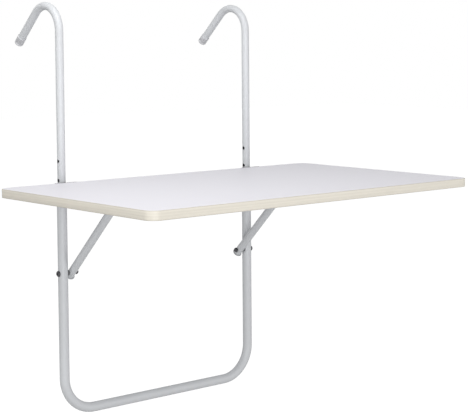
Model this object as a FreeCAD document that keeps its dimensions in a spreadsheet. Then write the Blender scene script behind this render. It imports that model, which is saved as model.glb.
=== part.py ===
import FreeCAD, Part
import Sketcher
import os
import re
from FreeCAD import Rotation, Vector

# Driving dimensions in millimetres and degrees.
# Frame: X along the railing, -Y towards the user, Z up, origin on the rail midway between the hooks.
DIMENSIONS = {
    # board
    "board_length": 630,
    "board_depth": 390,
    "core_thick": 12,
    "skin_thick": 0.8,
    "band_thick": 0.8,
    "corner_radius": 17,
    "board_drop": 271.5,
    "board_gap": 5,
    # tubes
    "upright_pitch": 384,
    "tube_wall": 1.2,
    "hook_diameter": 13,
    "hook_radius": 40.5,
    "hook_turn": 132,
    "hook_tail": 72,
    "hook_length": 341,
    "frame_diameter": 16,
    "frame_radius": 55,
    "frame_top": 5,
    "bar_drop": 370,
    "stay_diameter": 13,
    "stay_radius": 30,
    "stay_lean": 134,
    "stay_drop": 145.5,
    "stay_inset": 16.8,
    "stay_tail": 6.8,
    # hook caps
    "cap_length": 16,
    "cap_diameter": 15,
    "cap_end": 2,
    "cap_round": 3,
    # guide bush
    "bush_diameter": 18.4,
    "bush_flange": 3,
    "bush_skirt": 8,
    "bush_chamfer": 0.8,
    # height lock
    "hole_pitch": 30.5,
    "hole_diameter": 6,
    "lock_drop": 28,
    "lock_travel": 5,
    "boss_diameter": 12,
    "boss_length": 8,
    "nose_diameter": 5,
    "nose_clear": 0.7,
    "knob_diameter": 16,
    "knob_length": 12,
    "knob_bore": 8,
    "knob_round": 1.5,
    "knob_clear": 0.5,
    "flute_diameter": 3,
    "flute_count": 8,
    # hinge
    "hinge_drop": 25,
    "hinge_reach": 6,
    "hinge_radius": 7,
    "lug_thick": 5,
    "ear_gap": 0.3,
    "plate_thick": 2,
    "plate_length": 56,
    "plate_width": 40,
    "plate_lip": 0.2,
    "plate_margin": 6,
    "plate_round": 1.5,
    # bolts, nuts and washers
    "hinge_bolt": 6,
    "stay_bolt": 5,
    "fit_gap": 0.16,
    "hex_width": 10,
    "hex_height": 4,
    "nut_height": 6,
    "bolt_end": 1.5,
    "washer_diameter": 12,
    "washer_thick": 1.6,
    "dome_diameter": 10,
    "dome_height": 3,
    "dome_round": 2.4,
    "dome_nut_diameter": 8.5,
    "dome_nut_height": 4.5,
    "dome_nut_wall": 1,
    "spacer_diameter": 9,
    # wood screws
    "screw_diameter": 3.5,
    "screw_length": 12,
    "screw_point": 3,
    "screw_head_diameter": 7,
    "screw_head_height": 2.2,
    "screw_gap": 0.1,
    "screw_row_near": 24,
    "screw_row_far": 46,
    # stay catches
    "catch_offset": 100,
    "catch_width": 24,
    "catch_base": 1.7,
    "catch_front": 19,
    "catch_back": 20,
    "catch_stop": 9,
    "catch_stop_thick": 3,
    "catch_lip": 3,
    "catch_lip_start": 8.1,
    "catch_lip_thick": 2.4,
    "catch_screw": 15,
    # stay plugs
    "plug_flange": 1.5,
    "plug_length": 3.8,
    "plug_gap": 0.1,
}

# Places worked out from the dimensions.
UPRIGHT_X = "upright_pitch / 2"
UPRIGHT_Y = "-hook_radius"
BOARD_THICK = "(core_thick + 2 * skin_thick)"
UNDERSIDE_Z = f"(-board_drop - {BOARD_THICK})"
BACK_EDGE_Y = "(-hook_radius - frame_diameter / 2 - board_gap)"
HINGE_Y = f"({BACK_EDGE_Y} - hinge_reach)"
HINGE_Z = "(-board_drop - hinge_drop)"
FRAME_TOP_Z = "(-board_drop - frame_top)"
BAR_Z = "(-board_drop - bar_drop)"
LOCK_Z = "(-board_drop - lock_drop)"
PIVOT_Z = "(-board_drop - stay_drop)"
CROSSBAR_DROP = "(catch_base + ear_gap + stay_diameter / 2)"
STAY_REACH = f"((stay_drop - {BOARD_THICK} - {CROSSBAR_DROP}) / cos(180 - stay_lean))"
CROSSBAR_Y = f"({UPRIGHT_Y} - {STAY_REACH} * sin(stay_lean))"
CROSSBAR_Z = f"({UNDERSIDE_Z} - {CROSSBAR_DROP})"
HOOK_BORE = "(frame_diameter - 2 * tube_wall)"
SIDES = {"left": -1, "right": 1}

doc = FreeCAD.newDocument("railing_table")
sheet = doc.addObject("Spreadsheet::Sheet", "dims")
for row, (alias, size) in enumerate(DIMENSIONS.items(), start=1):
    sheet.set(f"A{row}", alias)
    sheet.set(f"B{row}", str(size))
    sheet.setAlias(f"B{row}", alias)
doc.recompute()
nodes = []


def cells(expression):
    """An expression with each dimension's name pointing at its cell."""
    return re.sub(r"[a-z]+(?:_[a-z]+)+", r"dims.\g<0>", expression)


def value(expression):
    return float(sheet.evalExpression(cells(expression)))


def bind(thing, path, expression):
    thing.setExpression(path, cells(expression))


def mirrored(side, expression):
    """The expression, mirrored for the left side."""
    return f"{side} * ({expression})"


# Bodies and where they stand

def new_body(name, is_node=True):
    body = doc.addObject("PartDesign::Body", name)
    body.Label = name
    if is_node:
        nodes.append(body)
    return body


def place(thing, x="0", y="0", z="0", axis=None, angle="0"):
    if axis is not None:
        thing.Placement.Rotation = Rotation(axis, value(angle))
    bind(thing, "Placement.Base.x", x)
    bind(thing, "Placement.Base.y", y)
    bind(thing, "Placement.Base.z", z)


def place_across(thing, side, y, z, outward=True):
    """Stands a turned piece on an upright's axis, its own Z pointing out of or into the frame."""
    angle = 90 * side if outward else -90 * side
    place(thing, mirrored(side, UPRIGHT_X), y, z, Vector(0, 1, 0), str(angle))


def group(name, members):
    """Joins alike fasteners as one node of separate solids."""
    compound = doc.addObject("Part::Compound", name)
    compound.Label = name
    compound.Links = members
    nodes.append(compound)


# Sketches

def new_sketch(body, role, offset="0"):
    sketch = body.newObject("Sketcher::SketchObject", f"{body.Name}_sketch")
    plane = next(feature for feature in body.Origin.OriginFeatures if feature.Role == role)
    sketch.AttachmentSupport = (plane, [""])
    sketch.MapMode = "FlatFace"
    bind(sketch, "AttachmentOffset.Base.z", offset)
    return sketch


def locate(sketch, geometry, point, x, y):
    """Holds a point of a sketch at x, y from the sketch's origin."""
    for kind, axis, expression in (("DistanceX", -2, x), ("DistanceY", -1, y)):
        if expression == "0":
            sketch.addConstraint(Sketcher.Constraint("PointOnObject", geometry, point, axis))
        else:
            limit = Sketcher.Constraint(kind, -1, 1, geometry, point, value(expression))
            bind(sketch, f"Constraints[{sketch.addConstraint(limit)}]", expression)


def circle(sketch, x, y, diameter):
    centre = Vector(value(x), value(y), 0)
    geometry = sketch.addGeometry(Part.Circle(centre, Vector(0, 0, 1), value(diameter) / 2), False)
    locate(sketch, geometry, 3, x, y)
    index = sketch.addConstraint(Sketcher.Constraint("Diameter", geometry, value(diameter)))
    bind(sketch, f"Constraints[{index}]", diameter)


def arc_from(start, end, heading, radius):
    """The arc that leaves start along heading for end, whether it turns left, and its last heading."""
    left = Vector(-heading.y, heading.x, 0)
    turns_left = left.dot(end - start) > 0
    centre = start + left * (radius if turns_left else -radius)
    first, last = (start, end) if turns_left else (end, start)
    whole = Part.Circle(centre, Vector(0, 0, 1), radius)
    spoke = (end - centre) / radius
    last_heading = Vector(-spoke.y, spoke.x, 0) * (1 if turns_left else -1)
    return Part.ArcOfCircle(whole, whole.parameter(first), whole.parameter(last)), turns_left, last_heading


def route(sketch, points, bends, closed=False):
    """Draws a line through the points. bends gives the radius of each run that is a tangent arc."""
    corners = [Vector(value(x), value(y), 0) for x, y in points]
    runs = len(corners) if closed else len(corners) - 1
    ends = []
    heading = None
    for run in range(runs):
        start = corners[run]
        end = corners[(run + 1) % len(corners)]
        if run in bends:
            shape, turns_left, heading = arc_from(start, end, heading, value(bends[run]))
        else:
            shape, turns_left, heading = Part.LineSegment(start, end), True, (end - start).normalize()
        geometry = sketch.addGeometry(shape, False)
        ends.append((geometry, 1, 2) if turns_left else (geometry, 2, 1))
        if run in bends:
            index = sketch.addConstraint(Sketcher.Constraint("Radius", geometry, value(bends[run])))
            bind(sketch, f"Constraints[{index}]", bends[run])
    for run, (geometry, first, last) in enumerate(ends):
        locate(sketch, geometry, first, *points[run])
        if closed or run + 1 < runs:
            following, its_first, _ = ends[(run + 1) % runs]
            sketch.addConstraint(Sketcher.Constraint("Coincident", geometry, last, following, its_first))
    if not closed:
        geometry, _, last = ends[-1]
        locate(sketch, geometry, last, *points[-1])
    if sketch.solve() != 0:
        raise RuntimeError(f"{sketch.Name} has clashing constraints")


def outline(sketch, points, bends=None):
    route(sketch, points, bends or {}, closed=True)


def rectangle(sketch, x_low, x_high, y_low, y_high):
    outline(sketch, [(x_low, y_low), (x_high, y_low), (x_high, y_high), (x_low, y_high)])


# Features

def add_feature(body, kind, sketch):
    feature = body.newObject(f"PartDesign::{kind}", f"{body.Name}_{kind.lower()}")
    feature.Profile = sketch
    body.Tip = feature
    return feature


def pad(body, sketch, length, symmetric=False):
    feature = add_feature(body, "Pad", sketch)
    bind(feature, "Length", length)
    if symmetric:
        feature.SideType = "Symmetric"
    doc.recompute()


def pocket(body, sketch, length=None, forward=False):
    """Cuts through everything both ways, or with a length to that depth or width."""
    before = body.Shape.Volume
    feature = add_feature(body, "Pocket", sketch)
    if length is None:
        feature.Type = "ThroughAll"
    else:
        bind(feature, "Length", length)
    if forward:
        feature.Reversed = True
    else:
        feature.SideType = "Symmetric"
    doc.recompute()
    if body.Shape.Volume >= before:
        raise RuntimeError(f"{feature.Name} cuts nothing")


def turn(body, points, bends=None):
    """Turns a profile of radius and height points about the body's Z axis."""
    sketch = new_sketch(body, "XZ_Plane")
    outline(sketch, points, bends)
    feature = add_feature(body, "Revolution", sketch)
    feature.ReferenceAxis = (sketch, ["V_Axis"])
    feature.Angle = 360
    doc.recompute()


def round_edges(body, radius, is_wanted):
    """Rounds the edges of the body that is_wanted picks."""
    base = body.Tip
    names = [f"Edge{i}" for i, edge in enumerate(base.Shape.Edges, start=1) if is_wanted(edge)]
    if not names:
        raise RuntimeError(f"{body.Name} has no such edges")
    feature = body.newObject("PartDesign::Fillet", f"{body.Name}_fillet")
    feature.Base = (base, names)
    bind(feature, "Radius", radius)
    body.Tip = feature
    doc.recompute()


def sweep_tube(body, path_role, points, bends, ring_centre, ring_height, diameter):
    """Sweeps a tube's ring section along a path of straight runs and tangent arcs."""
    path = new_sketch(body, path_role)
    route(path, points, bends)
    ring = new_sketch(body, "XY_Plane", ring_height)
    circle(ring, *ring_centre, diameter)
    circle(ring, *ring_centre, f"{diameter} - 2 * tube_wall")
    doc.recompute()
    pipe = add_feature(body, "AdditivePipe", ring)
    pipe.Spine = (path, [f"Edge{i}" for i in range(1, len(points))])
    doc.recompute()


def u_tube(body, half_width, end, bar, radius, diameter):
    """A tube bent to a U in the XZ plane, its bar at the bottom."""
    low = f"{bar} + {radius}"
    points = [
        (f"-({half_width})", end),
        (f"-({half_width})", low),
        (f"{radius} - ({half_width})", bar),
        (f"{half_width} - {radius}", bar),
        (half_width, low),
        (half_width, end),
    ]
    sweep_tube(body, "XZ_Plane", points, {1: radius, 3: radius}, (f"-({half_width})", "0"), end, diameter)


def cross_holes(body, spots, diameter):
    """Drills holes along X at each Y, Z spot, through everything in line."""
    sketch = new_sketch(body, "YZ_Plane")
    for y, z in spots:
        circle(sketch, y, z, diameter)
    pocket(body, sketch)


def saddle(body, diameter):
    """Hollows a turned piece where it sits on an upright."""
    sketch = new_sketch(body, "YZ_Plane")
    circle(sketch, "0", "0", diameter)
    pocket(body, sketch)


# Hooks: two bent tubes with a row of height holes, and their tip caps

TAIL_Y = "hook_radius * cos(180 - hook_turn)"
TAIL_Z = "hook_radius * sin(180 - hook_turn) - hook_radius + hook_diameter / 2"


def hook_tube(name, side):
    body = new_body(name)
    crown = "hook_diameter / 2 - hook_radius"
    points = [
        (UPRIGHT_Y, "-hook_length"),
        (UPRIGHT_Y, crown),
        (TAIL_Y, TAIL_Z),
        (f"{TAIL_Y} + hook_tail * sin(hook_turn)", f"{TAIL_Z} + hook_tail * cos(hook_turn)"),
    ]
    sweep_tube(
        body, "YZ_Plane", points, {1: "hook_radius"}, ("0", UPRIGHT_Y), "-hook_length", "hook_diameter"
    )
    spots = [(UPRIGHT_Y, f"{LOCK_Z} + {step} * hole_pitch") for step in range(3)]
    cross_holes(body, spots, "hole_diameter")
    place(body, mirrored(side, UPRIGHT_X))


def hook_cap(name, side):
    body = new_body(name)
    bore = "hook_diameter / 2 + fit_gap / 4"
    skin = "cap_diameter / 2"
    points = [
        ("0", "cap_length - cap_end"),
        (bore, "cap_length - cap_end"),
        (bore, "0"),
        (skin, "0"),
        (skin, "cap_length - cap_round"),
        (f"{skin} - cap_round", "cap_length"),
        ("0", "cap_length"),
    ]
    turn(body, points, {4: "cap_round"})
    along = "(hook_tail - cap_length + cap_end)"
    place(
        body,
        mirrored(side, UPRIGHT_X),
        f"{TAIL_Y} + {along} * sin(hook_turn)",
        f"{TAIL_Z} + {along} * cos(hook_turn)",
        Vector(1, 0, 0),
        "-hook_turn",
    )


# Frame: U-shaped tube, guide bushes, hinge lugs, lock bosses and the stay's pivots

def frame_tube():
    body = new_body("frame_tube")
    u_tube(body, UPRIGHT_X, FRAME_TOP_Z, BAR_Z, "frame_radius", "frame_diameter")
    cross_holes(body, [("0", PIVOT_Z)], "stay_bolt + fit_gap")
    for side in SIDES.values():
        wall = mirrored(side, f"{UPRIGHT_X} - frame_diameter / 2")
        sketch = new_sketch(body, "YZ_Plane", wall)
        circle(sketch, "0", LOCK_Z, "hinge_bolt + fit_gap")
        pocket(body, sketch, "frame_diameter / 2")
    place(body, y=UPRIGHT_Y)


def tube_bush(name, side):
    body = new_body(name)
    inner = f"{HOOK_BORE} / 2"
    skin = "bush_diameter / 2"
    seat = "frame_diameter / 2 + fit_gap / 4"
    points = [
        (inner, "0"),
        (seat, "0"),
        (seat, "-bush_skirt"),
        (skin, "-bush_skirt"),
        (skin, "bush_flange - bush_chamfer"),
        (f"{skin} - bush_chamfer", "bush_flange"),
        (inner, "bush_flange"),
    ]
    turn(body, points)
    place(body, mirrored(side, UPRIGHT_X), UPRIGHT_Y, FRAME_TOP_Z)


def hinge_lug(name, side):
    body = new_body(name)
    upright = f"{UPRIGHT_Y} - {HINGE_Y}"
    sketch = new_sketch(body, "YZ_Plane")
    points = [
        (upright, "hinge_radius"),
        ("0", "hinge_radius"),
        ("-hinge_radius", "0"),
        ("0", "-hinge_radius"),
        (upright, "-hinge_radius"),
    ]
    outline(sketch, points, {1: "hinge_radius", 2: "hinge_radius"})
    pad(body, sketch, "lug_thick", symmetric=True)
    seat = new_sketch(body, "XY_Plane")
    circle(seat, "0", upright, "frame_diameter")
    pocket(body, seat)
    cross_holes(body, [("0", "0")], "hinge_bolt + fit_gap")
    place(body, mirrored(side, UPRIGHT_X), HINGE_Y, HINGE_Z)


def lock_boss(name, side):
    body = new_body(name)
    bore = "(hinge_bolt + fit_gap) / 2"
    skin = "boss_diameter / 2"
    top = "frame_diameter / 2 + boss_length"
    turn(body, [(bore, "0"), (skin, "0"), (skin, top), (bore, top)])
    saddle(body, "frame_diameter")
    place_across(body, side, UPRIGHT_Y, LOCK_Z, outward=False)


def stay_bolt(name, side):
    body = new_body(name, is_node=False)
    shank = "stay_bolt / 2"
    head = "dome_diameter / 2"
    seat = "frame_diameter / 2"
    top = f"{seat} + dome_height"
    tip = "-(stay_inset + stay_diameter / 2 + ear_gap + dome_nut_height - dome_nut_wall)"
    points = [
        ("0", tip),
        (shank, tip),
        (shank, seat),
        (head, seat),
        (head, f"{top} - dome_round"),
        (f"{head} - dome_round", top),
        ("0", top),
    ]
    turn(body, points, {4: "dome_round"})
    place_across(body, side, UPRIGHT_Y, PIVOT_Z)
    return body


def stay_nut(name, side):
    body = new_body(name, is_node=False)
    bore = "stay_bolt / 2 + screw_gap / 2"
    skin = "dome_nut_diameter / 2"
    seat = "stay_inset + stay_diameter / 2 + ear_gap"
    inside = f"{seat} + dome_nut_height - dome_nut_wall + screw_gap"
    top = f"{seat} + dome_nut_height"
    points = [
        ("0", inside),
        (bore, inside),
        (bore, seat),
        (skin, seat),
        (skin, f"{top} - dome_round"),
        (f"{skin} - dome_round", top),
        ("0", top),
    ]
    turn(body, points, {4: "dome_round"})
    place_across(body, side, UPRIGHT_Y, PIVOT_Z, outward=False)
    return body


def stay_spacer(name, side):
    body = new_body(name)
    bore = "(stay_bolt + fit_gap) / 2"
    skin = "spacer_diameter / 2"
    top = "stay_inset - stay_diameter / 2 - ear_gap"
    turn(body, [(bore, "0"), (skin, "0"), (skin, top), (bore, top)])
    saddle(body, "frame_diameter")
    place_across(body, side, UPRIGHT_Y, PIVOT_Z, outward=False)


# Height locks: a screw whose nose enters a hole of the hook tube, and its knob

NOSE_TIP = "hook_diameter / 2 + nose_clear"
KNOB_FACE = "frame_diameter / 2 + boss_length + lock_travel + knob_clear"


def lock_screw(name, side):
    body = new_body(name)
    nose = "nose_diameter / 2"
    shank = "hinge_bolt / 2"
    shoulder = f"{NOSE_TIP} + lock_travel"
    end = f"{KNOB_FACE} + knob_bore"
    points = [
        ("0", NOSE_TIP),
        (nose, NOSE_TIP),
        (nose, shoulder),
        (shank, shoulder),
        (shank, end),
        ("0", end),
    ]
    turn(body, points)
    place_across(body, side, UPRIGHT_Y, LOCK_Z, outward=False)


def lock_knob(name, side):
    body = new_body(name)
    bore = "hinge_bolt / 2 + screw_gap / 2"
    skin = "knob_diameter / 2"
    inside = f"{KNOB_FACE} + knob_bore"
    top = f"{KNOB_FACE} + knob_length"
    points = [
        ("0", inside),
        (bore, inside),
        (bore, KNOB_FACE),
        (skin, KNOB_FACE),
        (skin, f"{top} - knob_round"),
        (f"{skin} - knob_round", top),
        ("0", top),
    ]
    turn(body, points, {4: "knob_round"})
    flute = new_sketch(body, "XY_Plane", KNOB_FACE)
    circle(flute, skin, "0", "flute_diameter")
    pocket(body, flute, forward=True)
    first_flute = body.Tip
    ring = body.newObject("PartDesign::PolarPattern", f"{name}_flutes")
    ring.Originals = [first_flute]
    ring.Axis = (flute, ["N_Axis"])
    ring.Angle = 360
    bind(ring, "Occurrences", "flute_count")
    body.Tip = ring
    doc.recompute()
    place_across(body, side, UPRIGHT_Y, LOCK_Z, outward=False)


# Board: core, two skins and an edge band, with pilot holes for the wood screws

def bracket_spots():
    """Where the brackets' wood screws enter the board, as x, y from the board's middle."""
    spots = []
    for side in SIDES.values():
        for corner in (-1, 1):
            x = f"{side} * upright_pitch / 2 + {corner} * (plate_width / 2 - plate_margin)"
            for row in ("screw_row_near", "screw_row_far"):
                spots.append((x, f"board_depth / 2 - {row}"))
    return spots


def catch_spots():
    """Where the catches' wood screws enter the board, as x, y from the board's middle."""
    bar = f"{CROSSBAR_Y} - {BACK_EDGE_Y} + board_depth / 2"
    spots = []
    for side in SIDES.values():
        for step in (-1, 1):
            spots.append((f"{side} * catch_offset", f"{bar} + {step} * catch_screw"))
    return spots


def corner_test(half_length):
    """A test for the upright edges of a slab at the given distance to either side of its middle."""
    distance = value(half_length)

    def is_corner(edge):
        box = edge.BoundBox
        return max(box.XLength, box.YLength) < 0.001 and abs(abs(edge.CenterOfMass.x) - distance) < 0.001

    return is_corner


def slab(name, base, thickness, hole_depth=None):
    """A layer of the board inside the edge band."""
    body = new_body(name)
    half_length = "board_length / 2 - band_thick"
    half_depth = "board_depth / 2 - band_thick"
    sketch = new_sketch(body, "XY_Plane")
    rectangle(sketch, f"-({half_length})", half_length, f"-({half_depth})", half_depth)
    pad(body, sketch, thickness)
    round_edges(body, "corner_radius - band_thick", corner_test(half_length))
    if hole_depth is not None:
        holes = new_sketch(body, "XY_Plane")
        for x, y in bracket_spots() + catch_spots():
            circle(holes, x, y, "screw_diameter + screw_gap")
        pocket(body, holes, hole_depth, forward=True)
    place(body, y=f"{BACK_EDGE_Y} - board_depth / 2", z=base)


def edge_band():
    body = new_body("edge_band")
    sketch = new_sketch(body, "XY_Plane")
    rectangle(sketch, "-board_length / 2", "board_length / 2", "-board_depth / 2", "board_depth / 2")
    inner_x = "board_length / 2 - band_thick"
    inner_y = "board_depth / 2 - band_thick"
    rectangle(sketch, f"-({inner_x})", inner_x, f"-({inner_y})", inner_y)
    pad(body, sketch, BOARD_THICK)
    round_edges(body, "corner_radius", corner_test("board_length / 2"))
    round_edges(body, "corner_radius - band_thick", corner_test(inner_x))
    place(body, y=f"{BACK_EDGE_Y} - board_depth / 2", z=UNDERSIDE_Z)


# Hinge: bent brackets under the board, bolts through the lugs, wood screws

EAR_FACE = "(lug_thick / 2 + ear_gap + plate_thick)"


def hinge_bracket(name, side):
    body = new_body(name)
    under = "hinge_drop - (core_thick + 2 * skin_thick)"
    low = f"{under} - plate_thick"
    profile = new_sketch(body, "YZ_Plane")
    points = [
        ("hinge_reach + plate_thick", low),
        ("hinge_reach + plate_thick", "hinge_drop + plate_lip"),
        ("hinge_reach", "hinge_drop + plate_lip"),
        ("hinge_reach", under),
        ("hinge_reach - plate_length", under),
        ("hinge_reach - plate_length", low),
    ]
    outline(profile, points)
    pad(body, profile, "plate_width", symmetric=True)
    bend = Vector(0, value("hinge_reach + plate_thick"), value(low))
    round_edges(body, "plate_round", lambda edge: edge.CenterOfMass.isEqual(bend, 0.001))
    ears = new_sketch(body, "YZ_Plane")
    points = [
        ("-hinge_radius", low),
        ("-hinge_radius", "0"),
        ("0", "-hinge_radius"),
        ("hinge_radius", "0"),
        ("hinge_radius", low),
    ]
    outline(ears, points, {1: "hinge_radius", 2: "hinge_radius"})
    pad(body, ears, f"2 * {EAR_FACE}", symmetric=True)
    slot = new_sketch(body, "YZ_Plane")
    rectangle(slot, "-2 * hinge_radius", "2 * hinge_radius", "-2 * hinge_radius", low)
    pocket(body, slot, "lug_thick + 2 * ear_gap")
    cross_holes(body, [("0", "0")], "hinge_bolt + fit_gap")
    holes = new_sketch(body, "XY_Plane")
    for corner in (-1, 1):
        for row in ("screw_row_near", "screw_row_far"):
            x = f"{corner} * (plate_width / 2 - plate_margin)"
            circle(holes, x, f"hinge_reach - {row}", "screw_diameter + screw_gap")
    pocket(body, holes)
    place(body, mirrored(side, UPRIGHT_X), HINGE_Y, HINGE_Z)


def hexagon(sketch):
    """A hexagon across the hex width, on the sketch's origin."""
    radius = "hex_width / 2 / cos(30)"
    angles = range(30, 390, 60)
    outline(sketch, [(f"{radius} * cos({angle})", f"{radius} * sin({angle})") for angle in angles])


def hinge_bolt(name, side):
    body = new_body(name, is_node=False)
    shank = "hinge_bolt / 2"
    seat = f"{EAR_FACE} + washer_thick"
    tip = f"-({seat} + nut_height + bolt_end)"
    turn(body, [("0", tip), (shank, tip), (shank, seat), ("0", seat)])
    head = new_sketch(body, "XY_Plane", seat)
    hexagon(head)
    pad(body, head, "hex_height")
    place_across(body, side, HINGE_Y, HINGE_Z)
    return body


def hinge_nut(name, side):
    body = new_body(name, is_node=False)
    sketch = new_sketch(body, "XY_Plane", f"{EAR_FACE} + washer_thick")
    hexagon(sketch)
    circle(sketch, "0", "0", "hinge_bolt + screw_gap")
    pad(body, sketch, "nut_height")
    place_across(body, side, HINGE_Y, HINGE_Z, outward=False)
    return body


def hinge_washer(name, side, outward):
    body = new_body(name, is_node=False)
    sketch = new_sketch(body, "XY_Plane", EAR_FACE)
    circle(sketch, "0", "0", "washer_diameter")
    circle(sketch, "0", "0", "hinge_bolt + fit_gap")
    pad(body, sketch, "washer_thick")
    place_across(body, side, HINGE_Y, HINGE_Z, outward)
    return body


def wood_screw(name, x, y, head_seat):
    """A wood screw that points up, with its head's seat at the given height."""
    body = new_body(name, is_node=False)
    shank = "screw_diameter / 2"
    head = "screw_head_diameter / 2"
    points = [
        ("0", "-screw_head_height"),
        (f"{head} - screw_head_height / 2", "-screw_head_height"),
        (head, "-screw_head_height / 2"),
        (head, "0"),
        (shank, "0"),
        (shank, "screw_length - screw_point"),
        ("0", "screw_length"),
    ]
    turn(body, points, {1: "screw_head_height / 2"})
    place(body, x, f"{BACK_EDGE_Y} - board_depth / 2 + {y}", head_seat)
    return body


# Stay: U-shaped tube with plugs, and the saddles that catch its crossbar

def stay_tube():
    body = new_body("stay_tube")
    half_width = "upright_pitch / 2 - stay_inset"
    u_tube(body, half_width, "stay_tail", f"-{STAY_REACH}", "stay_radius", "stay_diameter")
    cross_holes(body, [("0", "0")], "stay_bolt + fit_gap")
    place(body, "0", UPRIGHT_Y, PIVOT_Z, Vector(1, 0, 0), "-stay_lean")


def stay_plug(name, side):
    body = new_body(name)
    flange = "stay_diameter / 2"
    spigot = "(stay_diameter - 2 * tube_wall - plug_gap) / 2"
    points = [
        ("0", "-plug_length"),
        (spigot, "-plug_length"),
        (spigot, "0"),
        (flange, "0"),
        (f"{flange} - plug_flange", "plug_flange"),
        ("0", "plug_flange"),
    ]
    turn(body, points, {3: "plug_flange"})
    place(
        body,
        mirrored(side, "upright_pitch / 2 - stay_inset"),
        f"{UPRIGHT_Y} + stay_tail * sin(stay_lean)",
        f"{PIVOT_Z} + stay_tail * cos(stay_lean)",
        Vector(1, 0, 0),
        "-stay_lean",
    )


def stay_catch(name, side):
    body = new_body(name)
    top = CROSSBAR_DROP
    low = f"{top} - catch_base"
    bar = "stay_diameter / 2"
    stop = f"{bar} + ear_gap"
    points = [
        ("-catch_front", top),
        ("-catch_front", low),
        ("-catch_lip_start - catch_lip_thick", low),
        ("-catch_lip_start - catch_lip_thick", f"{bar} - catch_lip"),
        ("-catch_lip_start", f"{bar} - catch_lip"),
        ("-catch_lip_start", low),
        (stop, low),
        (stop, f"{bar} - catch_stop"),
        (f"{stop} + catch_stop_thick", f"{bar} - catch_stop"),
        (f"{stop} + catch_stop_thick", low),
        ("catch_back", low),
        ("catch_back", top),
    ]
    profile = new_sketch(body, "YZ_Plane")
    outline(profile, points)
    pad(body, profile, "catch_width", symmetric=True)
    holes = new_sketch(body, "XY_Plane")
    for step in (-1, 1):
        circle(holes, "0", f"{step} * catch_screw", "screw_diameter + screw_gap")
    pocket(body, holes)
    place(body, mirrored(side, "catch_offset"), CROSSBAR_Y, CROSSBAR_Z)


# Assembly

for side_name, side in SIDES.items():
    hook_tube(f"hook_tube_{side_name}", side)
    hook_cap(f"hook_cap_{side_name}", side)
    tube_bush(f"tube_bush_{side_name}", side)
    hinge_lug(f"hinge_lug_{side_name}", side)
    lock_boss(f"lock_boss_{side_name}", side)
    stay_spacer(f"stay_spacer_{side_name}", side)
    lock_screw(f"lock_screw_{side_name}", side)
    lock_knob(f"lock_knob_{side_name}", side)
    hinge_bracket(f"hinge_bracket_{side_name}", side)
    stay_plug(f"stay_plug_{side_name}", side)
    stay_catch(f"stay_catch_{side_name}", side)

frame_tube()
stay_tube()
pilot_depth = "screw_length - catch_base - skin_thick + screw_gap"
slab("bottom_laminate", UNDERSIDE_Z, "skin_thick", "skin_thick")
slab("core_board", f"{UNDERSIDE_Z} + skin_thick", "core_thick", pilot_depth)
slab("top_laminate", "-board_drop - skin_thick", "skin_thick")
edge_band()

group("stay_bolts", [stay_bolt(f"stay_bolt_{name}", side) for name, side in SIDES.items()])
group("stay_nuts", [stay_nut(f"stay_nut_{name}", side) for name, side in SIDES.items()])
group("hinge_bolts", [hinge_bolt(f"hinge_bolt_{name}", side) for name, side in SIDES.items()])
group("hinge_nuts", [hinge_nut(f"hinge_nut_{name}", side) for name, side in SIDES.items()])
washers = []
for name, side in SIDES.items():
    washers.append(hinge_washer(f"hinge_washer_{name}_outer", side, True))
    washers.append(hinge_washer(f"hinge_washer_{name}_inner", side, False))
group("hinge_washers", washers)

for name, spots, base in (
    ("bracket_screw", bracket_spots(), "plate_thick"),
    ("catch_screw", catch_spots(), "catch_base"),
):
    seat = f"{UNDERSIDE_Z} - {base}"
    group(f"{name}s", [wood_screw(f"{name}_{i}", x, y, seat) for i, (x, y) in enumerate(spots, start=1)])

doc.recompute()
for thing in doc.Objects:
    if "Invalid" in thing.State or "Error" in thing.State:
        raise RuntimeError(f"{thing.Name} failed: {thing.State}")
for node in nodes:
    if node.Shape.isNull() or not node.Shape.isValid():
        raise RuntimeError(f"{node.Label} has no valid shape")

os.makedirs("parts", exist_ok=True)
for node in nodes:
    node.Shape.exportStep(f"parts/{node.Label}.step")
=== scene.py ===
import math
import bmesh
import bpy
from mathutils import Matrix, Vector


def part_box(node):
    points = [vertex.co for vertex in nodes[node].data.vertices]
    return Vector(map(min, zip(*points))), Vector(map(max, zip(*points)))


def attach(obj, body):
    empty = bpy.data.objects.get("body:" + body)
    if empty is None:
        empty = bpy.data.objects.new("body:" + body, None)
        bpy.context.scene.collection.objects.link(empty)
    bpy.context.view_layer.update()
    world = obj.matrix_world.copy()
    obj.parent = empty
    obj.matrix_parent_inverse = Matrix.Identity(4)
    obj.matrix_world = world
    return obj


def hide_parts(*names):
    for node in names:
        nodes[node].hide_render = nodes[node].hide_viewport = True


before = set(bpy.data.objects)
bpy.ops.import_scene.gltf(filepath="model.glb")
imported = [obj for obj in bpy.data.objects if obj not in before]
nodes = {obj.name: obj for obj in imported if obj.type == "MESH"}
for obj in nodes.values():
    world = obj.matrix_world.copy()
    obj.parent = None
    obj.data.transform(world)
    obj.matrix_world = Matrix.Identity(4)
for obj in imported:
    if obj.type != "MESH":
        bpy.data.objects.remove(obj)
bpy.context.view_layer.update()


# Hook tubes. Two bent steel tubes that curl over the railing, under a light grey powder coat with a
# faint orange peel. Where they slide in the frame, the coat is rubbed in upright streaks.

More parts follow.
